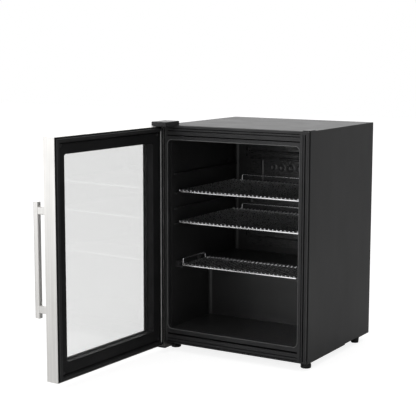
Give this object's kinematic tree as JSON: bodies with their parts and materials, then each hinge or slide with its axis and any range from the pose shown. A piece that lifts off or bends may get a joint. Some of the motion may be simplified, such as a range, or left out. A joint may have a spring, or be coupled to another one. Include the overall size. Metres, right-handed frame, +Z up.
{
  "type": "mini fridge",
  "caption": "Compact glass-door fridge with a framed hinged door, bar handle, wire shelves and a rear compressor bay.",
  "frame": {"origin": "on the floor, below the centre of the steel cabinet (the door and handle don't count)", "axes": "+Z up, -Y out of the front (the side the door is on), +X to the right as seen from the front"},
  "size_m": [0.5265, 0.8728, 0.6335],
  "materials": {
    "black_paint": "satin",
    "zinc_steel": "satin",
    "liner_plastic": "satin",
    "frame_plastic": "satin",
    "foam": "matte",
    "evaporator_coat": "satin",
    "circuit_board": "satin",
    "lamp_diffuser": "gloss",
    "shelf_chrome": "polished",
    "compressor_paint": "satin",
    "motor_iron": "matte",
    "black_rubber": "matte",
    "terminal_plastic": "matte",
    "copper": "satin",
    "stainless": "satin",
    "gasket_rubber": "matte",
    "magnet": "matte",
    "clear_glass": "gloss",
    "spacer_black": "satin"
  },
  "bodies": {
    "root": {"right_side_panel": "black_paint", "left_side_panel": "black_paint", "top_panel": "black_paint", "back_panel": "zinc_steel", "bay_panel": "zinc_steel", "bottom_panel": "zinc_steel", "compressor_tray": "black_paint", "inner_liner": "liner_plastic", "foam_insulation": "foam", "front_frame": "frame_plastic", "evaporator_plate": "evaporator_coat", "evaporator_clips": "liner_plastic", "led_board": "circuit_board", "lamp_lens": "lamp_diffuser", "thermostat_housing": "liner_plastic", "lower_shelf_supports": "liner_plastic", "compressor_shell": "compressor_paint", "compressor_motor": "motor_iron", "compressor_base": "zinc_steel", "compressor_grommets": "black_rubber", "compressor_bolts": "zinc_steel", "terminal_cover": "terminal_plastic", "condensate_tray": "terminal_plastic", "drain_tube": "terminal_plastic", "suction_line": "copper", "condenser_tube": "compressor_paint", "condenser_wires": "compressor_paint", "filter_drier": "copper", "cord_gland": "black_rubber", "rear_feet": "black_rubber", "top_hinge_bracket": "compressor_paint", "top_hinge_cover": "frame_plastic", "hinge_hole_cap": "frame_plastic", "bottom_hinge_bracket": "compressor_paint", "hinge_screws": "zinc_steel"},
    "door": {"door_stile_hinge_side": "stainless", "door_stile_handle_side": "stainless", "door_rail_top": "stainless", "door_rail_bottom": "stainless", "door_inner_frame": "frame_plastic", "door_foam_core": "foam", "door_gasket": "gasket_rubber", "gasket_magnets": "magnet", "outer_glass": "clear_glass", "inner_glass": "clear_glass", "glass_spacer": "spacer_black", "hinge_bushes": "terminal_plastic", "handle_bar": "stainless", "handle_posts": "stainless", "handle_screws": "zinc_steel"},
    "shelf_upper": {"shelf_upper_frame": "shelf_chrome", "shelf_upper_wires": "shelf_chrome"},
    "shelf_middle": {"shelf_middle_frame": "shelf_chrome", "shelf_middle_wires": "shelf_chrome"},
    "shelf_lower": {"shelf_lower_frame": "shelf_chrome", "shelf_lower_wires": "shelf_chrome"},
    "knob": {"thermostat_knob": "frame_plastic"},
    "switch": {"light_switch": "frame_plastic"},
    "foot_left": {"front_foot_left": "black_rubber"},
    "foot_right": {"front_foot_right": "black_rubber"}
  },
  "joints": [
    {"name": "door_hinge", "type": "hinge", "parent": "root", "child": "door", "pos_m": [-0.217, -0.235, 0.3205], "axis": [0, 0, -1], "range_deg": [-92, 28]},
    {"name": "shelf_upper_slide", "type": "slide", "parent": "root", "child": "shelf_upper", "axis": [0, -1, 0], "range_m": [0, 0.25]},
    {"name": "shelf_middle_slide", "type": "slide", "parent": "root", "child": "shelf_middle", "axis": [0, -1, 0], "range_m": [0, 0.25]},
    {"name": "shelf_lower_slide", "type": "slide", "parent": "root", "child": "shelf_lower", "axis": [0, -1, 0], "range_m": [0, 0.1]},
    {"name": "thermostat_turn", "type": "hinge", "parent": "root", "child": "knob", "pos_m": [0.168, -0.02, 0.552], "axis": [-1, 0, 0], "range_deg": [0, 270]},
    {"name": "light_switch_rock", "type": "hinge", "parent": "root", "child": "switch", "pos_m": [0.169, -0.078, 0.552], "axis": [0, 1, 0], "range_deg": [0, 14]},
    {"name": "foot_left_turn", "type": "hinge", "parent": "root", "child": "foot_left", "pos_m": [-0.202, -0.165, 0], "axis": [0, 0, 1], "continuous": true},
    {"name": "foot_right_turn", "type": "hinge", "parent": "root", "child": "foot_right", "pos_m": [0.202, -0.165, 0], "axis": [0, 0, 1], "continuous": true}
  ]
}
